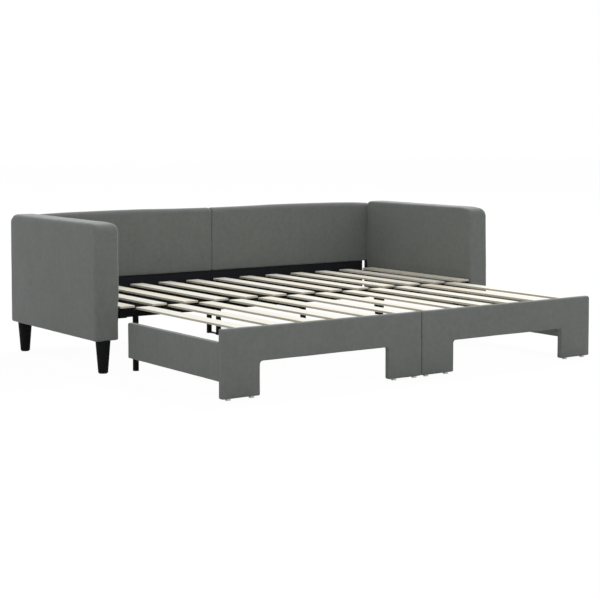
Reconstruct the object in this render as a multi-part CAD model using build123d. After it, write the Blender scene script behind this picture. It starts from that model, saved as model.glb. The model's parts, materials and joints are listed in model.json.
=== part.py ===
"""Pull-out daybed with interleaving slats, drawn with the trundle fully out.

The fixed half is two upholstered arms on tapered legs, a two-part back standing behind them
and a steel under-frame that carries thirteen slats.  The trundle is a two-part upholstered
front with arched openings, two low side skirts and twelve slats, which slide over the
under-frame's front rail into the gaps between the fixed slats.

Millimetres.  X runs along the bed, -Y is the front, +Z is up.  The origin is on the floor,
under the middle of the opened bed.
"""
from build123d import *
import os

# ---------------------------------------------------------------- driving dimensions
inner_length = 2010.0          # clear length between the two arms
extension = 834.0              # how far the opened trundle front stands before the arms

arm_thickness = 108.0
arm_depth = 862.0
arm_height = 500.0             # upholstered part, without its legs
arm_corner = 34.0              # rounding of the upper corners, seen from the side
arm_edge = 10.0                # easing of the long edges
leg_height = 145.0

back_thickness = 60.0
back_behind_arm = 45.0         # how far the back reaches behind each arm
back_panel_height = 317.0      # upholstered upper part of the back
back_corner = 26.0
back_edge = 8.0

deck_top = 288.0               # top of the fixed slats above the floor
slat_thickness = 9.0
slat_seat = 9.5                # seats that lift the fixed slats above the trundle's
seat_inset = 5.0               # seat's end to the side of its slat
slat_overhang = 24.0           # fixed slats reach this far past the middle rail
slat_edge = 2.0                # chamfer of a slat's long edges
fixed_slats = 13

front_thickness = 27.0
front_bottom = 8.0             # underside of the trundle front above the floor
front_height = 273.0
foot_width = 175.0
arch_top = 145.0               # top of the arched openings above the floor
arch_corner = 14.0
front_corner = 8.0             # rounding of the outline's outer corners
front_edge = 5.0               # easing of the outer edges
inner_face_edge = 2.0          # easing of the edges that face the bed
skirt_thickness = 27.0
skirt_depth = 733.0
skirt_bottom = 76.0
skirt_height = 150.0

tube_width = 20.0              # rectangular steel tube of the under-frame
tube_height = 30.0
tube_wall = 1.5
shelf_depth = 110.0            # front of the middle rail to back of the rear rail
post_side = 20.0               # square posts under the frame
post_inset = 78.0              # arm's inner face to the outer front posts
centre_offset = -25.0          # the centre beam stands left of the middle
foot_bar_thickness = 5.0

ledger_side = 30.0             # square batten behind the trundle front
slat_overlap = 12.0            # how far the pulled-out trundle slats still lie on the rail

# ---------------------------------------------------------------- clearances and linings
trundle_side_gap = 5.0         # trundle front to each arm it passes
slat_end_gap = 10.0            # outermost fixed slat to the arm
slat_side_gap = 10.0           # between neighbours once the two decks interleave
glide_clearance = 0.4          # trundle slats above the rail they slide on
seam_gap = 1.0                 # between the two halves of the back and of the front
slat_play = 1.0                # trundle slat's front end to the trundle front
rail_play = 1.0                # each end of a rail to its bracket plate
rail_back_gap = 2.0            # rear rail to the plane of the arms' rear faces
arm_padding = 12.0
arm_lining = 3.0               # cloth under the arm
back_padding = 14.0
front_padding = 8.0
rear_padding = 4.0
board_thickness = 18.0         # boards of the arm frames and of the back
stile_depth = 22.0             # end stile of the back frame, behind the arm
arm_bays = 4                   # openings between the uprights of an arm's frame
lining_board_end = 20.0        # lower back board stops short of the arm's inner face
board_play = 1.0               # lower back board's tongue to the frame beside it
tongue = 60.0                  # lower board's tongue inside the upholstered panel

bracket_plate = 3.0
bracket_width = 50.0
bracket_shelf = 40.0
bracket_drop = 12.0            # bracket plate below the rail
bolt_shank = 8.0
bolt_head = 13.0               # across the corners of the hexagon
bolt_head_height = 5.0
bolt_clearance = 0.3           # round the shank, in the radius
angle_height = 72.0            # steel angles behind the trundle's corners
foot_glide_spacing = 110.0     # two round glides under each foot of the trundle front
glide_radius = 11.0
glide_thickness = 3.0
leg_top = 66.0                 # diameters of the turned, tapered legs
leg_bottom = 40.0
leg_flats = 24                 # flat sides that stand for a leg's round side
leg_outer_inset = 16.0         # leg's top to the outer, front and rear faces of the arm
leg_front_inset = 2.0
leg_rear_inset = 4.0
leg_pad_inset = 2.0            # pad's rim to the rim of the leg's bottom

# ---------------------------------------------------------------- derived places
arm_inner = inner_length / 2
arm_outer = arm_inner + arm_thickness
arm_bottom = leg_height
arm_top = arm_bottom + arm_height
front_y = -(extension + arm_depth + back_thickness) / 2
arm_front = front_y + extension
arm_rear = arm_front + arm_depth
back_rear = arm_rear + back_thickness
half_trundle = arm_inner - trundle_side_gap

# Closed, the fixed slats and the trundle slats between them fill the length from arm to arm.
trundle_slats = fixed_slats - 1
slat_row = inner_length - 2 * slat_end_gap - 2 * trundle_slats * slat_side_gap
slat_width = slat_row / (fixed_slats + trundle_slats)
slat_pitch = 2 * (slat_width + slat_side_gap)
deck_bottom = deck_top - slat_thickness
rail_top = deck_bottom - slat_seat
rail_bottom = rail_top - tube_height
beam_bottom = rail_bottom - tube_height

rear_rail_back = arm_rear - rail_back_gap
middle_rail_front = rear_rail_back - shelf_depth
front_inner = front_y + front_thickness
trundle_deck = rail_top + glide_clearance


def slat_places(count):
    """Middles along X of a row of slats, spread evenly about the middle of the bed."""
    return [(number - (count - 1) / 2) * slat_pitch for number in range(count)]


# ---------------------------------------------------------------- shared shapes
def block(x0, x1, y0, y1, z0, z1):
    """A box between two opposite corners."""
    centre = Pos((x0 + x1) / 2, (y0 + y1) / 2, (z0 + z1) / 2)
    return centre * Box(abs(x1 - x0), abs(y1 - y0), abs(z1 - z0))


def mirrored(part):
    """The same piece on the other side of the bed."""
    return part.mirror(Plane.YZ)


def outline(width, height, corners):
    """A flat rectangle from (0, 0) whose corners are rounded: low left, low right,
    high right, high left."""
    face = Pos(width / 2, height / 2) * Rectangle(width, height)
    places = ((0, 0), (width, 0), (width, height), (0, height))
    for (x, y), radius in zip(places, corners):
        if radius:
            vertex = face.vertices().sort_by_distance((x, y, 0))[0]
            face = fillet(vertex, radius)
    return face


def facing_front(x, y, z):
    """Plane whose drawing is seen from the front of the bed."""
    return Plane(origin=(x, y, z), x_dir=(1, 0, 0), z_dir=(0, -1, 0))


def facing_side(x, y, z):
    """Plane whose drawing is seen from the right end of the bed."""
    return Plane(origin=(x, y, z), x_dir=(0, 1, 0), z_dir=(1, 0, 0))


def eased(panel, axis, low, high):
    """Eases the outline edges of a panel's two broad faces, across the given axis."""
    panel = chamfer(panel.faces().sort_by(axis)[0].edges(), low)
    return chamfer(panel.faces().sort_by(axis)[-1].edges(), high)


def tube(length, width, height, wall):
    """Closed rectangular tube along X, centred, with rounded long edges."""
    bar = Box(length, width, height)
    bar = fillet(bar.edges().filter_by(Axis.X), wall)
    return bar - Box(length - 2 * wall, width - 2 * wall, height - 2 * wall)


# ---------------------------------------------------------------- rail brackets and their bolts
rail_fronts = (arm_front, middle_rail_front, rear_rail_back - tube_width)
bolt_reach = bracket_plate + arm_padding + board_thickness


def plate_start(y_front):
    """Front edge of the plate of a rail's bracket, kept on the flat of the arm's inner face."""
    centred = y_front - (bracket_width - tube_width) / 2
    last = arm_rear - arm_edge - bracket_width
    return min(max(centred, arm_front + arm_edge), last)


def bolt_place(y_front):
    """Depth and height of the bolt beside the end of one rail."""
    start = plate_start(y_front)
    if start < y_front:
        y = (start + y_front) / 2
    else:
        y = (y_front + tube_width + start + bracket_width) / 2
    return y, (rail_bottom + rail_top) / 2


def bolt(y_front):
    """Hexagon bolt through a bracket plate into the right arm's mounting board."""
    y, z = bolt_place(y_front)
    head_start = Plane((arm_inner - bracket_plate - bolt_head_height, y, z), z_dir=(1, 0, 0))
    head = extrude(head_start * RegularPolygon(bolt_head / 2, 6), amount=bolt_head_height)
    return head + bore(y_front, bolt_shank / 2)


def bore(y_front, radius):
    """Round bar along the axis of a bolt, from the plate's face to the bolt's end."""
    y, z = bolt_place(y_front)
    start = Plane((arm_inner - bracket_plate, y, z), z_dir=(1, 0, 0))
    return extrude(start * Circle(radius), amount=bolt_reach)


def bored(part):
    """The piece with the right arm's bolt holes in it."""
    for y_front in rail_fronts:
        part -= bore(y_front, bolt_shank / 2 + bolt_clearance)
    return part


def rail_bracket(y_front):
    """Steel seat bolted to the right arm, which holds the end of one rail."""
    start = plate_start(y_front)
    end = start + bracket_width
    plate = block(
        arm_inner - bracket_plate, arm_inner, start, end, rail_bottom - bracket_drop, rail_top
    )
    shelf = block(
        arm_inner - bracket_shelf, arm_inner - bracket_plate,
        min(start, y_front), max(end, y_front + tube_width),
        rail_bottom - bracket_plate, rail_bottom,
    )
    return bored(plate) + shelf


# ---------------------------------------------------------------- arms
def arm_shape(padding, lining):
    """Right arm's form, drawn in by the padding all round and by the lining underneath."""
    corner = arm_corner - padding
    profile = outline(
        arm_depth - 2 * padding, arm_height - padding - lining, (0, 0, corner, corner)
    )
    place = facing_side(arm_inner + padding, arm_front + padding, arm_bottom + lining)
    return extrude(place * profile, amount=arm_thickness - 2 * padding)


def arm_cover():
    """Foam and velvet round the arm's frame, closed underneath by the lining."""
    outside = eased(arm_shape(0, 0), Axis.X, arm_edge, arm_edge)
    return bored(outside - arm_shape(arm_padding, arm_lining))


def arm_frame():
    """Timber frame inside the arm: a rim with uprights, and a mounting board for the bolts."""
    frame = arm_shape(arm_padding, arm_lining)
    y0 = arm_front + arm_padding
    y1 = arm_rear - arm_padding
    opening = (y1 - y0 - (arm_bays + 1) * board_thickness) / arm_bays
    z0 = arm_bottom + arm_lining + board_thickness
    z1 = arm_top - arm_padding - board_thickness
    for bay in range(arm_bays):
        start = y0 + board_thickness + bay * (opening + board_thickness)
        frame -= block(arm_inner, arm_outer, start, start + opening, z0, z1)
    board_inner = arm_inner + arm_padding
    board = block(
        board_inner, board_inner + board_thickness, y0, y1, beam_bottom, deck_top
    )
    return bored(frame + board)


def arm_leg(y):
    """Turned, tapered leg under the right arm."""
    height = arm_bottom - glide_thickness
    top, bottom = leg_top / 2, leg_bottom / 2
    taper = Polygon((-top, height), (top, height), (bottom, 0), (-bottom, 0), align=None)
    wedge = extrude(Plane.XZ * taper, amount=top, both=True)
    leg = wedge
    for pair in range(1, leg_flats // 2):
        leg &= Rot(0, 0, pair * 360 / leg_flats) * wedge
    return Pos(leg_x, y, glide_thickness) * leg


leg_x = arm_outer - leg_outer_inset - leg_top / 2
leg_front_y = arm_front + leg_front_inset + leg_top / 2
leg_rear_y = arm_rear - leg_rear_inset - leg_top / 2


# ---------------------------------------------------------------- back
back_split = arm_bottom + arm_height - back_panel_height
back_end = arm_inner + back_behind_arm
board_front = arm_rear + back_padding
board_rear = board_front + board_thickness
tongue_top = back_split + tongue
board_end = arm_inner - lining_board_end


def back_space():
    """Room inside the right half of the back for its frame and the board's tongue."""
    return block(
        seam_gap + back_padding, back_end - back_padding,
        board_front, board_rear,
        back_split, arm_top - back_padding,
    )


def back_cover():
    """Right half of the back: foam and velvet, open underneath."""
    width = back_end - seam_gap / 2
    profile = outline(width, back_panel_height, (0, 0, back_corner, 0))
    place = facing_front(seam_gap / 2, arm_rear, back_split)
    panel = extrude(place * profile, amount=-back_thickness)
    return eased(panel, Axis.Y, back_edge, back_edge) - back_space()


def back_frame():
    """Board inside the right half of the back, with the end stile fixed to the arm's rear."""
    frame = back_space()
    frame -= block(0, board_end + board_play, board_front, board_rear, back_split, tongue_top)
    stile = block(
        arm_inner, back_end - back_padding,
        arm_rear, arm_rear + stile_depth,
        arm_bottom, back_split,
    )
    return frame + stile


def back_board():
    """Lower right half of the back, black-lined, with its tongue up in the upholstery."""
    skirt = block(
        seam_gap / 2, board_end, board_front, board_rear, arm_bottom, back_split
    )
    held = block(
        seam_gap + back_padding, board_end, board_front, board_rear, back_split, tongue_top
    )
    return skirt + held


# ---------------------------------------------------------------- steel under-frame
rail_length = inner_length - 2 * (bracket_plate + rail_play)
post_top = beam_bottom
beam_x = centre_offset


def cross_rail(y_front):
    """Rail from arm to arm under the slats."""
    centre = Pos(0, y_front + tube_width / 2, rail_bottom + tube_height / 2)
    return centre * tube(rail_length, tube_width, tube_height, tube_wall)


def slat_seats(y_front):
    """Seats welded on one rail, which carry the fixed slats and let the others pass between."""
    width = slat_width - 2 * seat_inset
    z = (rail_top + deck_bottom) / 2
    y = y_front + tube_width / 2
    return [Pos(x, y, z) * Box(width, tube_width, slat_seat) for x in slat_places(fixed_slats)]


def centre_beam():
    """Front-to-back tube on which the three cross rails lie."""
    length = rear_rail_back - arm_front
    centre = Pos(beam_x, (rear_rail_back + arm_front) / 2, beam_bottom + tube_height / 2)
    return centre * Rot(0, 0, 90) * tube(length, tube_width, tube_height, tube_wall)


def post(x, y, low, high):
    """Square upright tube between two heights."""
    centre = Pos(x, y, (low + high) / 2)
    return centre * Rot(0, 90, 0) * tube(high - low, post_side, post_side, tube_wall)


def rear_centre_leg():
    """Two posts on a flat foot bar, under the middle and the rear rail."""
    foot = block(
        beam_x - post_side / 2, beam_x + post_side / 2,
        middle_rail_front, rear_rail_back,
        glide_thickness, glide_thickness + foot_bar_thickness,
    )
    low = glide_thickness + foot_bar_thickness
    front_post = post(beam_x, middle_rail_front + post_side / 2, low, post_top)
    rear_post = post(beam_x, rear_rail_back - post_side / 2, low, post_top)
    return foot + front_post + rear_post


# ---------------------------------------------------------------- slats
def slat(x, y0, y1, low):
    """One slat along Y with eased long edges."""
    bar = block(x - slat_width / 2, x + slat_width / 2, y0, y1, low, low + slat_thickness)
    return chamfer(bar.edges().filter_by(Axis.Y), slat_edge)


fixed_slat_rear = middle_rail_front + tube_width + slat_overhang
trundle_slat_front = front_inner + slat_play
trundle_slat_rear = arm_front + slat_overlap


# ---------------------------------------------------------------- trundle
def bridge(inset):
    """Outline of half the trundle front: a bar on two feet, drawn in by the inset."""
    width = half_trundle - seam_gap / 2 - 2 * inset
    height = front_height - 2 * inset
    corner = front_corner - inset
    face = outline(width, height, (corner, corner, corner, corner))
    rise = arch_top - front_bottom
    span = half_trundle - 2 * foot_width
    opening = outline(span + 2 * inset, rise, (0, 0, arch_corner, arch_corner))
    return face - Pos(foot_width - 2 * inset, 0) * opening


def front_half(inset, y0, y1):
    """Right half of the trundle front as a plate between two depths."""
    place = facing_front(seam_gap / 2 + inset, y0, front_bottom + inset)
    return extrude(place * bridge(inset), amount=-(y1 - y0))


def front_frame():
    """Board inside the right half of the trundle front."""
    return front_half(rear_padding, front_y + front_padding, front_inner - rear_padding)


def front_cover():
    """Foam and velvet round the board of the right half."""
    shell = eased(front_half(0, front_y, front_inner), Axis.Y, front_edge, inner_face_edge)
    return shell - front_frame()


def skirt():
    """Right side skirt of the trundle, upholstered, clear of the floor."""
    profile = outline(skirt_depth, skirt_height, (0, front_corner, front_corner, 0))
    place = facing_side(half_trundle - skirt_thickness, front_inner, skirt_bottom)
    panel = extrude(place * profile, amount=skirt_thickness)
    return eased(panel, Axis.X, inner_face_edge, front_edge)


def ledger():
    """Batten on the right half of the trundle front, which carries the slats' front ends."""
    return block(
        seam_gap, half_trundle - skirt_thickness,
        front_inner, front_inner + ledger_side,
        trundle_deck - ledger_side, trundle_deck,
    )


def corner_angle():
    """Steel angle in the corner between the trundle front and the right skirt."""
    x1 = half_trundle - skirt_thickness
    leg = ledger_side
    middle = skirt_bottom + skirt_height / 2
    z0 = middle - angle_height / 2
    z1 = middle + angle_height / 2
    on_front = block(x1 - leg, x1, front_inner, front_inner + bracket_plate, z0, z1)
    on_skirt = block(x1 - bracket_plate, x1, front_inner, front_inner + leg, z0, z1)
    return on_front + on_skirt


def seam_plate():
    """Flat steel plate across the seam of the trundle front."""
    reach = foot_width / 2
    back = front_inner + bracket_plate
    return block(-reach, reach, front_inner, back, arch_top, arch_top + angle_height)


def trundle_glides():
    """Round plastic glides, two under each foot of the trundle front."""
    y = front_y + front_thickness / 2
    glide = Cylinder(glide_radius, front_bottom)
    half = foot_glide_spacing / 2
    feet = (foot_width / 2, half_trundle - foot_width / 2)
    places = [foot + shift for foot in feet for shift in (-half, half)]
    return [Pos(side * x, y, front_bottom / 2) * glide for side in (-1, 1) for x in places]


def frame_glides():
    """Pads under the tapered legs, the front posts and the rear centre leg."""
    pads = []
    for side in (-1, 1):
        for y in (leg_front_y, leg_rear_y):
            centre = Pos(side * leg_x, y, glide_thickness / 2)
            pads.append(centre * Cylinder(leg_bottom / 2 - leg_pad_inset, glide_thickness))
    post_y = arm_front + post_side / 2
    rear_y = rear_rail_back - post_side / 2
    middle_y = middle_rail_front + post_side / 2
    outer = arm_inner - post_inset - post_side / 2
    front_posts = ((-outer, post_y), (outer, post_y), (beam_x, post_y))
    centre_leg = ((beam_x, middle_y), (beam_x, rear_y))
    for px, py in front_posts + centre_leg:
        pads.append(Pos(px, py, glide_thickness / 2) * Box(post_side, post_side, glide_thickness))
    return pads


# ---------------------------------------------------------------- the assembly
def assembly():
    """Every sub-part by name."""
    nodes = {
        "arm_cover_right": arm_cover(),
        "arm_frame_right": arm_frame(),
        "arm_leg_right_front": arm_leg(leg_front_y),
        "arm_leg_right_rear": arm_leg(leg_rear_y),
        "back_cover_right": back_cover(),
        "back_frame_right": back_frame(),
        "back_board_right": back_board(),
        "front_cover_right": front_cover(),
        "front_frame_right": front_frame(),
        "skirt_right": skirt(),
        "ledger_right": ledger(),
    }
    for name in list(nodes):
        nodes[name.replace("right", "left")] = mirrored(nodes[name])

    for name, y in zip(("front", "middle", "rear"), rail_fronts):
        nodes["rail_" + name] = [cross_rail(y)]
    nodes["rail_front"] += slat_seats(arm_front)
    nodes["rail_middle"] += slat_seats(middle_rail_front)
    nodes["centre_beam"] = centre_beam()
    outer_post = arm_inner - post_inset - post_side / 2
    post_y = arm_front + post_side / 2
    nodes["post_front_left"] = post(-outer_post, post_y, glide_thickness, rail_bottom)
    nodes["post_front_right"] = post(outer_post, post_y, glide_thickness, rail_bottom)
    nodes["post_front_centre"] = post(beam_x, post_y, glide_thickness, post_top)
    nodes["leg_rear_centre"] = rear_centre_leg()
    brackets = [rail_bracket(y) for y in rail_fronts]
    nodes["rail_brackets"] = brackets + [mirrored(bracket) for bracket in brackets]
    bolts = [bolt(y) for y in rail_fronts]
    nodes["rail_bolts"] = bolts + [mirrored(each) for each in bolts]
    nodes["frame_glides"] = frame_glides()

    for number, x in enumerate(slat_places(fixed_slats), 1):
        nodes[f"fixed_slat_{number:02d}"] = slat(x, arm_front, fixed_slat_rear, deck_bottom)
    for number, x in enumerate(slat_places(trundle_slats), 1):
        nodes[f"trundle_slat_{number:02d}"] = slat(
            x, trundle_slat_front, trundle_slat_rear, trundle_deck
        )

    angle = corner_angle()
    nodes["trundle_brackets"] = [angle, mirrored(angle), seam_plate()]
    nodes["trundle_glides"] = trundle_glides()
    return nodes


def save(nodes):
    """Writes one STEP file for each sub-part."""
    os.makedirs("parts", exist_ok=True)
    for name, shape in nodes.items():
        solids = []
        for piece in shape if isinstance(shape, list) else [shape]:
            solids += piece.solids()
        export_step(Compound(children=solids), f"parts/{name}.step")


save(assembly())
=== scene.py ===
import json
import math

import bmesh
import bpy
import numpy as np
from mathutils import Euler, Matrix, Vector

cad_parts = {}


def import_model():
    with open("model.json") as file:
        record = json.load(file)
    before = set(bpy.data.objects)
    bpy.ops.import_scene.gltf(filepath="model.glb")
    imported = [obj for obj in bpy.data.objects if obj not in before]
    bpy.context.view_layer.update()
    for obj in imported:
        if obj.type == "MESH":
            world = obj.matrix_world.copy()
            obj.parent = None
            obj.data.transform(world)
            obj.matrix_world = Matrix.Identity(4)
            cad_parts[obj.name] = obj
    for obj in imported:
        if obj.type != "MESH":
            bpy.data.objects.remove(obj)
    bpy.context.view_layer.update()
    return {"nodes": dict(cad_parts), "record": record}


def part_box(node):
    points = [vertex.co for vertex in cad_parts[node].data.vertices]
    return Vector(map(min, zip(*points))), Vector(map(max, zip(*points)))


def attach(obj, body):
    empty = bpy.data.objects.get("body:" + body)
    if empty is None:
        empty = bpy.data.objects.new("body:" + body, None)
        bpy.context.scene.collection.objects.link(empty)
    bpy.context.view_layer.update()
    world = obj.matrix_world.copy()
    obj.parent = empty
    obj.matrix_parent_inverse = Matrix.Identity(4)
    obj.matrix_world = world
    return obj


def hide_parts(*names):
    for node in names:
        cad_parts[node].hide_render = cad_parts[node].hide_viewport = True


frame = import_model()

# ---------------------------------------------------------------- sizes
# CORNER is a rounding of a panel's outline, EDGE one of the edges between its faces, and FOAM
# says how far the cloth stands out past the frame's box on that side.
ARM_FRONT_CORNER = 0.030
ARM_REAR_CORNER = 0.027
ARM_LOWER_CORNER = 0.009
ARM_OUTER_EDGE = 0.026       # along the top
ARM_SIDE_EDGE = 0.013        # down the outer side's uprights
ARM_REAR_EDGE = 0.004
ARM_INNER_EDGE = 0.014
ARM_FOOT_EDGE = 0.003
ARM_SIDE_FOAM = 0.0045
ARM_TOP_FOAM = 0.0055
ARM_FOOT_FOAM = 0.003
ARM_DROOP = 0.011            # the top falls this much towards the front corner
ARM_DROOP_REACH = 0.10
ARM_INNER_SWELL = 0.0048     # how far the inner side stands out, above the slats
SWELL_FROM = 0.295           # heights between which that swelling begins
SWELL_FULL = 0.335

BACK_CORNER = 0.026
BACK_TOP_EDGE = 0.025
BACK_END_EDGE = 0.014
BACK_FOOT_EDGE = 0.006
BACK_SEAM_CORNER = 0.016     # makes the notch where the two halves' tops meet
BACK_SEAM_EDGE = 0.002
BACK_SEAM_FOAM = 0.0004
BACK_FOOT_FOAM = 0.008
BACK_RISE = 0.0033           # foam lifts the middle of each half's top
BACK_SINK = 0.0012           # and the cloth draws both of its ends down
BACK_DROOP = 0.009           # the top falls this much more towards the outer end
BACK_DROOP_REACH = 0.22

FRONT_TOP_EDGE = 0.010
FRONT_EDGE = 0.0035
FRONT_REAR_EDGE = 0.002
FRONT_END_FOAM = 0.0015
FRONT_REAR_FOAM = 0.0015
FRONT_FOOT_FOAM = 0.002
FOOT_WIDTH = 0.1775          # feet of the bridge-shaped trundle front
ARCH_TOP = 0.143             # height of the openings between them
ARCH_CORNER = 0.014

SKIRT_EDGE = 0.004
SKIRT_SIDE_FOAM = 0.0015
SKIRT_END_FOAM = 0.003
SKIRT_FOOT_FOAM = 0.0025

FIXED_SLATS = 13
TRUNDLE_SLATS = 12
SLAT_EDGE = 0.0008
LEG_FOOT_WIDTH = 0.043       # a turned leg's diameter at its foot
LEG_RIM = 0.0015
LEG_SIDES = 72

# Furthest that the foam lifts the cloth off each board.
ARM_CROWN = 0.0016
BACK_CROWN = 0.0040
FRONT_CROWN = 0.0020
SKIRT_CROWN = 0.0010

THICK_MESH = 0.007           # mesh of the arms and the back
THIN_MESH = 0.005            # mesh of the trundle's thinner boards
SETTLE_FRAMES = 20
TIGHT_BEND = 0.04            # where a form bends this much, the cloth is held fast
LEAST_HOLD = 0.02            # points held by less than this share are left free
RIPPLE = 0.0004              # height of the cloth's slack hollows and rises
SKIRT_RIPPLE = 0.0003
WAVES = 14                   # waves that add up to that slack
WAVE_LENGTHS = (0.09, 0.34)
UPRIGHT = 0.999              # a normal this close to vertical is a leg's flat end
BEYOND = 1                   # a cutter reaches this far past what it cuts
TINY = 1e-4

# Floor, light and camera.
WHITE = (1, 1, 1, 1)
FLOOR_SIZE = 60
FLOOR_GREY = (0.65, 0.65, 0.65, 1)
FLOOR_GLOW = 1.04
FLOOR_GLOW_SHARE = 0.92      # of what the camera sees of the floor
SKY_STRENGTH = 0.70
LAMP_PLACE = (8.8, 4.6, 9.2)
LAMP_AIM = (0, 0, 0.3)
LAMP_SIZE = 6.5
LAMP_POWER = 1060
LENS = 91.264                # millimetres, with a sensor 36 mm wide
LENS_SHIFT = -0.1633
CAMERA_PLACE = (-4.1118, -5.8456, 1.0832)
CAMERA_TILT = 87             # degrees; 90 would be level
CAMERA_TURN = -35


# ---------------------------------------------------------------- modelling by hand
def deselect_all():
    """Leaves object mode with nothing selected."""
    if bpy.context.object and bpy.context.object.mode != "OBJECT":
        bpy.ops.object.mode_set(mode="OBJECT")
    bpy.ops.object.select_all(action="DESELECT")


def take_up(piece):
    """Makes one piece the only one that operators act on."""
    deselect_all()
    piece.select_set(True)
    bpy.context.view_layer.objects.active = piece


def cuboid(name, low, high):
    """A box between two corners, with its object at the origin."""
    deselect_all()
    low, high = Vector(low), Vector(high)
    bpy.ops.mesh.primitive_cube_add(size=1, location=(low + high) / 2)
    piece = bpy.context.object
    piece.name = name
    piece.scale = high - low
    bpy.ops.object.transform_apply(location=True, rotation=True, scale=True)
    return piece


def round_edges(piece, wanted, radius, segments=4):
    """Rounds the edges whose two ends pass a test."""
    take_up(piece)
    bpy.ops.object.mode_set(mode="EDIT")
    bpy.ops.mesh.select_mode(type="EDGE")
    bpy.ops.mesh.select_all(action="DESELECT")
    mesh = bmesh.from_edit_mesh(piece.data)
    for edge in mesh.edges:
        edge.select_set(wanted(edge.verts[0].co, edge.verts[1].co))
    bmesh.update_edit_mesh(piece.data)
    bpy.ops.mesh.bevel(offset=radius, segments=segments, affect="EDGES", clamp_overlap=False)
    bpy.ops.object.mode_set(mode="OBJECT")


def round_each(piece, radius_of, segments=4):
    """Rounds all edges at once, each by the radius that a function gives its two ends."""
    points = piece.data.vertices
    ends = [[points[index].co for index in edge.vertices] for edge in piece.data.edges]
    radii = [radius_of(first, second) for first, second in ends]
    shares = piece.data.attributes.new("bevel_weight_edge", "FLOAT", "EDGE")
    shares.data.foreach_set("value", [radius / max(radii) for radius in radii])
    use_modifier(
        piece, "BEVEL", limit_method="WEIGHT", width=max(radii), segments=segments,
        use_clamp_overlap=False,
    )
    piece.data.attributes.remove(piece.data.attributes["bevel_weight_edge"])


def use_modifier(piece, kind, **settings):
    """Adds a modifier, sets it and applies it."""
    take_up(piece)
    modifier = piece.modifiers.new(kind.title(), kind)
    for name, value in settings.items():
        setattr(modifier, name, value)
    bpy.ops.object.modifier_apply(modifier=modifier.name)


def cut_out(piece, cutter):
    """Takes one closed shape out of another."""
    use_modifier(piece, "BOOLEAN", operation="DIFFERENCE", object=cutter, solver="EXACT")
    bpy.data.objects.remove(cutter)


def mirrored(piece, name):
    """The same piece on the other side of the bed, with its own mesh."""
    take_up(piece)
    bpy.ops.object.duplicate()
    twin = bpy.context.object
    twin.name = name
    twin.scale.x = -1
    bpy.ops.object.transform_apply(location=True, rotation=True, scale=True)
    bpy.ops.object.mode_set(mode="EDIT")
    bpy.ops.mesh.select_all(action="SELECT")
    bpy.ops.mesh.normals_make_consistent(inside=False)
    bpy.ops.object.mode_set(mode="OBJECT")
    return twin


# ---------------------------------------------------------------- foam and fabric
def read_mesh(mesh):
    """Places and normals of a mesh's points, as two arrays."""
    points = mesh.vertices
    places = np.empty(len(points) * 3)
    normals = np.empty(len(points) * 3)
    points.foreach_get("co", places)
    points.foreach_get("normal", normals)
    return places.reshape(-1, 3), normals.reshape(-1, 3)


def write_mesh(piece, places):
    """Puts a mesh's points at new places."""
    piece.data.vertices.foreach_set("co", places.ravel())
    piece.data.update()


def share_between(values, low, high):
    """How far along values lie from low to high, as shares from 0 to 1."""
    return np.clip((values - low) / (high - low), 0, 1)


def cover_evenly(piece, mesh_size):
    """Gives a blocked-out form an even mesh that still lies on the form."""
    take_up(piece)
    bpy.ops.object.duplicate()
    form = bpy.context.object
    use_modifier(piece, "REMESH", mode="VOXEL", voxel_size=mesh_size)
    use_modifier(piece, "SHRINKWRAP", target=form, wrap_method="NEAREST_SURFACEPOINT")
    use_modifier(piece, "SMOOTH", factor=0.5, iterations=1)
    bpy.data.objects.remove(form)


def hold_edges(piece):
    """Marks the rounded edges, where the cloth is pulled tight over the board."""
    _, normals = read_mesh(piece.data)
    bend = 1 - np.abs(normals).max(axis=1)
    weights = share_between(bend, 0, TIGHT_BEND)
    held = piece.vertex_groups.new(name="held")
    for index in np.flatnonzero(weights > LEAST_HOLD):
        held.add([int(index)], float(weights[index]), "REPLACE")


def settle(piece):
    """Lets the foam press against the cloth and returns where the cloth comes to rest."""
    scene = bpy.context.scene
    modifier = piece.modifiers.new("Cloth", "CLOTH")
    cloth = modifier.settings
    cloth.quality = 5
    cloth.mass = 0.3
    cloth.tension_stiffness = 30
    cloth.compression_stiffness = 10
    cloth.shear_stiffness = 10
    cloth.bending_stiffness = 0.5
    cloth.use_pressure = True
    cloth.uniform_pressure_force = 4
    cloth.shrink_min = -0.012
    cloth.vertex_group_mass = "held"
    cloth.effector_weights.gravity = 0
    modifier.collision_settings.use_collision = False
    for number in range(1, SETTLE_FRAMES + 1):
        scene.frame_set(number)
    rested = piece.evaluated_get(bpy.context.evaluated_depsgraph_get())
    places, _ = read_mesh(rested.data)
    piece.modifiers.remove(modifier)
    scene.frame_set(1)
    return places


def slack(places, seed):
    """Soft hollows and rises, mostly from -1 to 1, as tight cloth over foam has them."""
    waves = np.random.default_rng(seed)
    total = np.zeros(len(places))
    for _ in range(WAVES):
        direction = waves.normal(size=3)
        direction /= np.linalg.norm(direction)
        length = waves.uniform(*WAVE_LENGTHS)
        phase = waves.uniform(0, 2 * math.pi)
        total += np.sin(places @ direction * (2 * math.pi / length) + phase)
    return total / math.sqrt(WAVES)


def upholster(piece, mesh_size, crown, seed, ripple=RIPPLE):
    """Turns a blocked-out form into cloth over foam, which rises by the crown at most."""
    cover_evenly(piece, mesh_size)
    start, normals = read_mesh(piece.data)
    hold_edges(piece)
    moved = settle(piece) - start
    furthest = np.linalg.norm(moved, axis=1).max()
    moved *= min(1, crown / furthest)
    write_mesh(piece, start + moved + normals * (ripple * slack(start, seed))[:, None])
    use_modifier(piece, "SUBSURF", levels=1, render_levels=1)
    take_up(piece)
    bpy.ops.object.shade_smooth()


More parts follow.
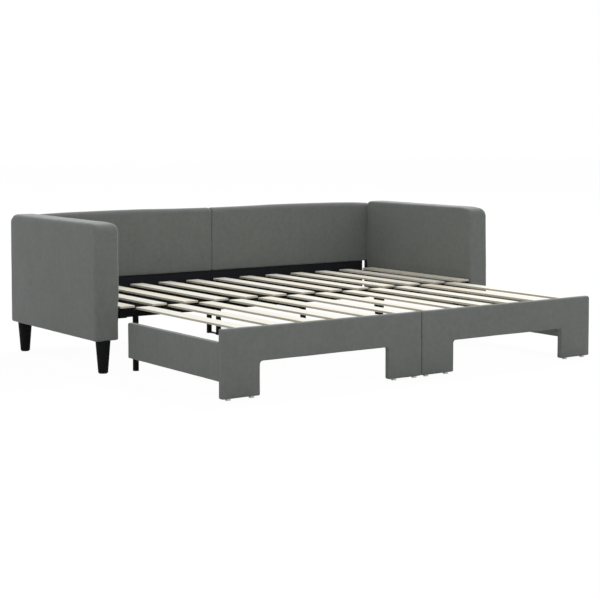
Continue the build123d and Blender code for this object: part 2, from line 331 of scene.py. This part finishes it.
def finish_padded(piece, node, body):
    """Puts velvet on a padded piece, hides the node that it replaces and hangs it on the body
    that it moves with.
    """
    piece.data.materials.append(MATERIALS["velvet"])
    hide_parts(node)
    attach(piece, body)


def both_sides(make, name, node, body):
    """A right-hand padded piece and its mirrored twin."""
    right = make(name + "_right", node + "_right")
    left = mirrored(right, name + "_left")
    finish_padded(right, node + "_right", body)
    finish_padded(left, node + "_left", body)


def arm(name, node):
    """Arm panel with round corners; its top falls to the front and its inner side swells."""
    low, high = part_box(node)
    low.z -= ARM_FOOT_FOAM
    high += Vector((ARM_SIDE_FOAM, 0, ARM_TOP_FOAM))
    piece = cuboid(name, low, high)

    def front_corner(a, b):
        return min(a.z, b.z) > high.z - TINY and max(a.y, b.y) < low.y + TINY

    def rear_corner(a, b):
        return min(a.z, b.z) > high.z - TINY and min(a.y, b.y) > high.y - TINY

    def lower_corner(a, b):
        return max(a.z, b.z) < low.z + TINY and abs(a.y - b.y) < TINY

    def rear_edge(a, b):
        return min(a.y, b.y) > high.y - TINY and min(a.x, b.x) > high.x - TINY

    def outer_side(a, b):
        if min(a.x, b.x) < high.x - TINY or underside(a, b):
            return 0
        rise = max(0, ((a.z + b.z) / 2 - high.z) / ARM_FRONT_CORNER + 1)
        return ARM_SIDE_EDGE + (ARM_OUTER_EDGE - ARM_SIDE_EDGE) * rise

    def inner_side(a, b):
        return max(a.x, b.x) < low.x + TINY and not underside(a, b)

    def underside(a, b):
        return max(a.z, b.z) < low.z + ARM_LOWER_CORNER + TINY

    round_edges(piece, front_corner, ARM_FRONT_CORNER, 6)
    round_edges(piece, rear_corner, ARM_REAR_CORNER, 6)
    round_edges(piece, lower_corner, ARM_LOWER_CORNER, 3)
    round_edges(piece, rear_edge, ARM_REAR_EDGE, 3)
    round_each(piece, outer_side)
    round_edges(piece, inner_side, ARM_INNER_EDGE)
    round_edges(piece, underside, ARM_FOOT_EDGE, 2)
    upholster(piece, THICK_MESH, ARM_CROWN, seed=3)
    places, _ = read_mesh(piece.data)
    near_front = share_between(places[:, 1], low.y + ARM_DROOP_REACH, low.y)
    up = share_between(places[:, 2], low.z, high.z)
    places[:, 2] -= ARM_DROOP * near_front**2 * up
    inward = share_between(places[:, 0], high.x, low.x)
    above_slats = share_between(places[:, 2], SWELL_FROM, SWELL_FULL)
    eased = above_slats**2 * (3 - 2 * above_slats)
    places[:, 0] -= ARM_INNER_SWELL * eased * inward
    write_mesh(piece, places)
    return piece


def back_half(name, node):
    """Upholstered half of the back, whose top swells a little and falls to its outer end."""
    low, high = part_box(node)
    low -= Vector((BACK_SEAM_FOAM, 0, BACK_FOOT_FOAM))
    piece = cuboid(name, low, high)

    def rounding(a, b):
        at_seam = max(a.x, b.x) < low.x + TINY
        if max(a.z, b.z) < low.z + TINY:
            return BACK_FOOT_EDGE
        if abs(a.y - b.y) > TINY:
            return BACK_SEAM_CORNER if at_seam else BACK_CORNER
        if min(a.z, b.z) > high.z - TINY:
            return BACK_TOP_EDGE
        return BACK_SEAM_EDGE if at_seam else BACK_END_EDGE

    round_each(piece, rounding, 6)
    upholster(piece, THICK_MESH, BACK_CROWN, seed=5)
    places, _ = read_mesh(piece.data)
    along = share_between(places[:, 0], low.x, high.x)
    near_end = share_between(places[:, 0], high.x - BACK_DROOP_REACH, high.x)
    up = share_between(places[:, 2], low.z, high.z)
    middle = 4 * along * (1 - along)
    swell = BACK_RISE * middle**3 - BACK_SINK * (1 - middle)
    places[:, 2] += (swell - BACK_DROOP * near_end**2) * up
    write_mesh(piece, places)
    return piece


def front_half(name, node):
    """Bridge-shaped half of the trundle front: a bar on two feet."""
    low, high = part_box(node)
    low.z -= FRONT_FOOT_FOAM
    high += Vector((FRONT_END_FOAM, FRONT_REAR_FOAM, 0))
    piece = cuboid(name, low, high)
    start = (low.x + FOOT_WIDTH, low.y - BEYOND, low.z - BEYOND)
    opening = cuboid("opening", start, (high.x - FOOT_WIDTH, high.y + BEYOND, ARCH_TOP))

    def arch_corner(a, b):
        return min(a.z, b.z) > ARCH_TOP - TINY and abs(a.x - b.x) < TINY

    round_edges(opening, arch_corner, ARCH_CORNER, 6)
    cut_out(piece, opening)

    def outer(a, b):
        return max(a.y, b.y) < low.y + TINY

    def inner(a, b):
        return min(a.y, b.y) > high.y - TINY

    def top_edge(a, b):
        return outer(a, b) and min(a.z, b.z) > high.z - TINY

    round_edges(piece, top_edge, FRONT_TOP_EDGE)
    round_edges(piece, outer, FRONT_EDGE, 3)
    round_edges(piece, inner, FRONT_REAR_EDGE, 2)
    upholster(piece, THIN_MESH, FRONT_CROWN, seed=7)
    return piece


def skirt(name, node):
    """Low side of the trundle."""
    low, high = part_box(node)
    low.z -= SKIRT_FOOT_FOAM
    high += Vector((SKIRT_SIDE_FOAM, SKIRT_END_FOAM, 0))
    piece = cuboid(name, low, high)

    def outline(a, b):
        return abs(a.x - b.x) < TINY

    round_edges(piece, outline, SKIRT_EDGE, 3)
    upholster(piece, THIN_MESH, SKIRT_CROWN, seed=9, ripple=SKIRT_RIPPLE)
    return piece


# ---------------------------------------------------------------- slats and turned legs
def slat(node, body):
    """Plywood slat with barely eased edges, so that its plies show along the sides."""
    low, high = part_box(node)
    board = cuboid(node.replace("slat", "plywood_slat"), low, high)
    round_edges(board, lambda a, b: True, SLAT_EDGE, 2)
    board.data.materials.append(MATERIALS["slat_wood"])
    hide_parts(node)
    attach(board, body)


def turned_leg(node):
    """Smooth tapered leg with eased rims, turned in one piece."""
    low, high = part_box(node)
    middle = (low + high) / 2
    deselect_all()
    bpy.ops.mesh.primitive_cone_add(
        vertices=LEG_SIDES, radius1=LEG_FOOT_WIDTH / 2, radius2=(high.y - low.y) / 2,
        depth=high.z - low.z, location=middle,
    )
    leg = bpy.context.object
    leg.name = node.replace("arm_leg", "turned_leg")
    bpy.ops.object.transform_apply(location=True, rotation=True, scale=True)

    def rim(a, b):
        return abs(a.z - b.z) < TINY

    round_edges(leg, rim, LEG_RIM, 3)
    take_up(leg)
    bpy.ops.object.shade_smooth()
    for face in leg.data.polygons:
        face.use_smooth = abs(face.normal.z) < UPRIGHT
    leg.data.materials.append(MATERIALS["leg_black"])
    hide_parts(node)
    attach(leg, "daybed")


# ---------------------------------------------------------------- shader maths
class Wire:
    """A shader socket that can be added, multiplied and compared like a number."""

    def __init__(self, graph, socket):
        self.graph = graph
        self.socket = socket

    def maths(self, operation, first, second):
        settings = {"operation": operation}
        return self.graph.node("ShaderNodeMath", settings, {0: first, 1: second})

    def __add__(self, other):
        return self.maths("ADD", self, other)

    def __radd__(self, other):
        return self.maths("ADD", other, self)

    def __sub__(self, other):
        return self.maths("SUBTRACT", self, other)

    def __rsub__(self, other):
        return self.maths("SUBTRACT", other, self)

    def __mul__(self, other):
        return self.maths("MULTIPLY", self, other)

    def __rmul__(self, other):
        return self.maths("MULTIPLY", other, self)

    def __gt__(self, other):
        return self.maths("GREATER_THAN", self, other)


class Graph:
    """The shader nodes of one material or world, under construction."""

    def __init__(self, owner):
        owner.use_nodes = True
        self.owner = owner
        self.tree = owner.node_tree
        self.tree.nodes.clear()

    def node(self, kind, settings=None, sockets=None, output=0):
        """Adds a node, sets it, and fills its sockets with values or wires."""
        node = self.tree.nodes.new(kind)
        for name, value in (settings or {}).items():
            if name == "stops":
                self.set_stops(node.color_ramp, value)
            else:
                setattr(node, name, value)
        for name, value in (sockets or {}).items():
            if isinstance(value, Wire):
                self.tree.links.new(value.socket, node.inputs[name])
            else:
                node.inputs[name].default_value = value
        return Wire(self, node.outputs[output]) if node.outputs else None

    def set_stops(self, ramp, stops):
        """Places a ramp's colours, given as two or more pairs of position and colour."""
        while len(ramp.elements) < len(stops):
            ramp.elements.new(1.0)
        for element, (position, colour) in zip(ramp.elements, stops):
            element.position = position
            element.color = (*colour, 1)


class Finish(Graph):
    """A material under construction."""

    def __init__(self, name):
        super().__init__(bpy.data.materials.new(name))

    def place(self, scale):
        """Object coordinates, stretched."""
        spot = self.node("ShaderNodeTexCoord", output="Object")
        return self.node("ShaderNodeMapping", None, {"Vector": spot, "Scale": scale})

    def noise(self, scale, stretch=(1, 1, 1), *, detail, roughness=0.5):
        """Noise from 0 to 1 with its middle at one half."""
        sockets = {
            "Vector": self.place(stretch),
            "Scale": scale,
            "Detail": detail,
            "Roughness": roughness,
        }
        return self.node("ShaderNodeTexNoise", None, sockets)

    def ramp(self, factor, stops):
        return self.node("ShaderNodeValToRGB", {"stops": stops}, {"Fac": factor})

    def blend(self, factor, first, second, mode="MIX"):
        """Mixes two colours."""
        settings = {"data_type": "RGBA", "blend_type": mode}
        first, second = (c if isinstance(c, Wire) else (*c, 1) for c in (first, second))
        # The node's factor, its two colours and the mixed colour, by their socket numbers.
        sockets = {0: factor, 6: first, 7: second}
        return self.node("ShaderNodeMix", settings, sockets, output=2)

    def shade(self, colour, value):
        """A colour made lighter or darker by a number."""
        grey = self.node("ShaderNodeCombineColor", None, {0: value, 1: value, 2: value})
        return self.blend(1.0, colour, grey, "MULTIPLY")

    def bump(self, height, distance, strength):
        sockets = {"Height": height, "Distance": distance, "Strength": strength}
        return self.node("ShaderNodeBump", None, sockets)

    def surface(self, sockets):
        """Ends the material in one Principled shader."""
        return self.end_in(self.node("ShaderNodeBsdfPrincipled", None, sockets))

    def end_in(self, shader):
        """Ends the material in a shader and returns the material."""
        self.node("ShaderNodeOutputMaterial", None, {"Surface": shader})
        return self.owner


# ---------------------------------------------------------------- finishes
def velvet():
    """Short-pile grey velvet: patches where the pile leans, fine fibre and a pale sheen."""
    cloth = Finish("velvet")
    grey = (0.190, 0.201, 0.191)
    patches = cloth.noise(7, detail=2)
    strokes = cloth.noise(42, detail=3)
    fibre = cloth.noise(700, detail=2)
    tone = 0.755 + patches * 0.16 + strokes * 0.27 + fibre * 0.06
    height = fibre * 0.6 + cloth.noise(160, detail=2) * 0.4
    return cloth.surface({
        "Base Color": cloth.shade(grey, tone),
        "Roughness": 0.82 + patches * 0.1,
        "Specular IOR Level": 0.15,
        "Sheen Weight": 0.80,
        "Sheen Roughness": 0.32,
        "Sheen Tint": (0.80, 0.84, 0.84, 1),
        "Normal": cloth.bump(height, 0.0006, 0.5),
    })


def slat_wood():
    """Pale sanded plywood: grain on the faces, plies on the sides, each slat its own tone."""
    wood = Finish("slat_wood")
    dark_ply, pale_ply = (0.54, 0.50, 0.40), (0.78, 0.73, 0.60)
    each = wood.noise(9, (1, 0, 0), detail=0)
    grain = wood.noise(90, (1, 0.05, 1), detail=5, roughness=0.6)
    figure = wood.noise(16, (1, 0.12, 1), detail=3)
    pores = wood.noise(420, (1, 0.04, 1), detail=2)
    veneer = wood.ramp(each, [
        (0.34, (0.92, 0.84, 0.69)), (0.46, (0.95, 0.93, 0.85)),
        (0.58, (0.95, 0.92, 0.83)), (0.68, (0.93, 0.86, 0.73)),
    ])
    tone = 0.93 + grain * 0.08 + figure * 0.06 - pores * 0.05
    plies = wood.noise(620, (0.01, 0.01, 1), detail=0)
    normal = wood.node("ShaderNodeTexCoord", output="Normal")
    upward = wood.node("ShaderNodeSeparateXYZ", None, {0: normal}, output="Z")
    on_a_face = wood.node("ShaderNodeMath", {"operation": "ABSOLUTE"}, {0: upward}) > 0.5
    face = wood.shade(veneer, tone)
    side = wood.shade(wood.blend(plies, dark_ply, pale_ply), tone)
    return wood.surface({
        "Base Color": wood.blend(on_a_face, side, face),
        "Roughness": 0.55 + grain * 0.12,
        "Specular IOR Level": 0.35,
        "Normal": wood.bump(grain + pores * 0.5, 0.0004, 0.35),
    })


def black_lacquer():
    """Satin black lacquer through which a little of the wood's grain shows."""
    lacquer = Finish("leg_black")
    deep, worn = (0.008, 0.008, 0.008), (0.015, 0.015, 0.015)
    grain = lacquer.noise(70, (1, 1, 0.06), detail=4)
    cloud = lacquer.noise(30, detail=2)
    return lacquer.surface({
        "Base Color": lacquer.blend(cloud, deep, worn),
        "Roughness": 0.42 + grain * 0.16,
        "Specular IOR Level": 0.06,
        "Normal": lacquer.bump(grain, 0.0004, 0.3),
    })


def board(name, pale, dark):
    """Raw sawn wood with long grain."""
    wood = Finish(name)
    grain = wood.noise(60, (0.06, 0.6, 1), detail=5, roughness=0.6)
    knots = wood.noise(9, (0.3, 1, 1), detail=2)
    return wood.surface({
        "Base Color": wood.blend(grain * 0.7 + knots * 0.3, dark, pale),
        "Roughness": 0.6 + grain * 0.2,
        "Normal": wood.bump(grain, 0.0005, 0.4),
    })


def black_lining():
    """Black non-woven lining cloth with fine fibres and a little sag."""
    cloth = Finish("board_black")
    between, thread = (0.014, 0.015, 0.018), (0.034, 0.036, 0.042)
    fibre = cloth.noise(260, detail=3)
    sag = cloth.noise(12, detail=2)
    return cloth.surface({
        "Base Color": cloth.blend(fibre, between, thread),
        "Roughness": 0.8 + sag * 0.12,
        "Specular IOR Level": 0.15,
        "Normal": cloth.bump(fibre + sag, 0.0008, 0.5),
    })


def black_steel():
    """Black powder coat with its fine orange-peel."""
    coat = Finish("steel_black")
    deep, worn = (0.005, 0.005, 0.005), (0.011, 0.011, 0.011)
    peel = coat.noise(420, detail=2)
    rubbed = coat.noise(25, detail=3)
    return coat.surface({
        "Base Color": coat.blend(rubbed, deep, worn),
        "Roughness": 0.44 + rubbed * 0.14,
        "Specular IOR Level": 0.06,
        "Normal": coat.bump(peel, 0.0003, 0.35),
    })


def black_plastic():
    """Moulded black plastic with a fine texture."""
    plastic = Finish("glide_plastic")
    deep, scuffed = (0.020, 0.020, 0.020), (0.045, 0.045, 0.044)
    spark = plastic.noise(800, detail=1)
    scuffs = plastic.noise(90, (1, 0.2, 1), detail=3)
    return plastic.surface({
        "Base Color": plastic.blend(scuffs, deep, scuffed),
        "Roughness": 0.5 + scuffs * 0.2,
        "Normal": plastic.bump(spark, 0.0002, 0.4),
    })


def white_nylon():
    """Natural nylon, a little yellow in places."""
    nylon = Finish("glide_white")
    clear, yellowed = (0.93, 0.93, 0.91), (0.87, 0.87, 0.84)
    cloud = nylon.noise(110, detail=2)
    scuffs = nylon.noise(300, (1, 0.2, 1), detail=3)
    return nylon.surface({
        "Base Color": nylon.blend(cloud, clear, yellowed),
        "Roughness": 0.4 + scuffs * 0.2,
        "Normal": nylon.bump(scuffs, 0.0001, 0.3),
    })


MATERIALS = {
    "velvet": velvet(),
    "slat_wood": slat_wood(),
    "leg_black": black_lacquer(),
    "frame_board": board("frame_board", (0.62, 0.47, 0.31), (0.40, 0.28, 0.17)),
    "ledger_wood": board("ledger_wood", (0.70, 0.57, 0.41), (0.50, 0.38, 0.25)),
    "board_black": black_lining(),
    "steel_black": black_steel(),
    "glide_plastic": black_plastic(),
    "glide_white": white_nylon(),
}


def finish_cad_nodes():
    """Gives every node of the frame the material of its slot."""
    for part in frame["record"]["subparts"]:
        slots = frame["nodes"][part["node"]].data.materials
        slots.clear()
        slots.append(MATERIALS[part["material_slot"]])


# ---------------------------------------------------------------- floor, light and camera
def floor():
    """Pale floor that keeps the bed's shadow and shows white to the camera."""
    deselect_all()
    bpy.ops.mesh.primitive_plane_add(size=FLOOR_SIZE, location=(0, 0, 0))
    ground = bpy.context.object
    ground.name = "floor"
    bpy.ops.object.transform_apply(location=True, rotation=True, scale=True)
    paint = Finish("floor")
    share = paint.node("ShaderNodeLightPath", output="Is Camera Ray") * FLOOR_GLOW_SHARE
    lit = paint.node("ShaderNodeBsdfDiffuse", None, {"Color": FLOOR_GREY})
    glow = paint.node("ShaderNodeEmission", None, {"Color": WHITE, "Strength": FLOOR_GLOW})
    mix = paint.node("ShaderNodeMixShader", None, {0: share, 1: lit, 2: glow})
    ground.data.materials.append(paint.end_in(mix))


def world():
    """Soft light from all round, and white where the camera looks past the floor."""
    sky = Graph(bpy.data.worlds.new("studio"))
    to_camera = sky.node("ShaderNodeLightPath", output="Is Camera Ray")
    soft = sky.node("ShaderNodeBackground", None, {"Color": WHITE, "Strength": SKY_STRENGTH})
    white = sky.node("ShaderNodeBackground", None, {"Color": WHITE, "Strength": 1})
    mix = sky.node("ShaderNodeMixShader", None, {0: to_camera, 1: soft, 2: white})
    sky.node("ShaderNodeOutputWorld", None, {"Surface": mix})
    bpy.context.scene.world = sky.owner


def soft_box():
    """The one lamp: a large square far off, high behind the bed's right end."""
    lamp = bpy.data.lights.new("key", "AREA")
    lamp.shape = "SQUARE"
    lamp.size = LAMP_SIZE
    lamp.energy = LAMP_POWER
    holder = bpy.data.objects.new("key", lamp)
    holder.location = LAMP_PLACE
    aim = Vector(LAMP_AIM) - Vector(LAMP_PLACE)
    holder.rotation_euler = aim.to_track_quat("-Z", "Y").to_euler()
    bpy.context.scene.collection.objects.link(holder)


def camera():
    """Nearly level camera at chest height, off the front's left end, its lens shifted down."""
    lens = bpy.data.cameras.new("camera")
    lens.lens = LENS
    lens.sensor_width = 36
    lens.shift_y = LENS_SHIFT
    lens.clip_end = 100
    holder = bpy.data.objects.new("camera", lens)
    holder.location = CAMERA_PLACE
    tilt, turn = math.radians(CAMERA_TILT), math.radians(CAMERA_TURN)
    holder.rotation_euler = Euler((tilt, 0, turn))
    bpy.context.scene.collection.objects.link(holder)
    bpy.context.scene.camera = holder


finish_cad_nodes()
both_sides(arm, "arm_upholstery", "arm_cover", "daybed")
both_sides(back_half, "back_upholstery", "back_cover", "daybed")
both_sides(front_half, "front_upholstery", "front_cover", "trundle")
both_sides(skirt, "skirt_upholstery", "skirt", "trundle")
for number in range(1, FIXED_SLATS + 1):
    slat(f"fixed_slat_{number:02d}", "daybed")
for number in range(1, TRUNDLE_SLATS + 1):
    slat(f"trundle_slat_{number:02d}", "trundle")
for corner in ("left_front", "left_rear", "right_front", "right_rear"):
    turned_leg("arm_leg_" + corner)
floor()
world()
soft_box()
camera()
bpy.context.scene.view_settings.view_transform = "Standard"
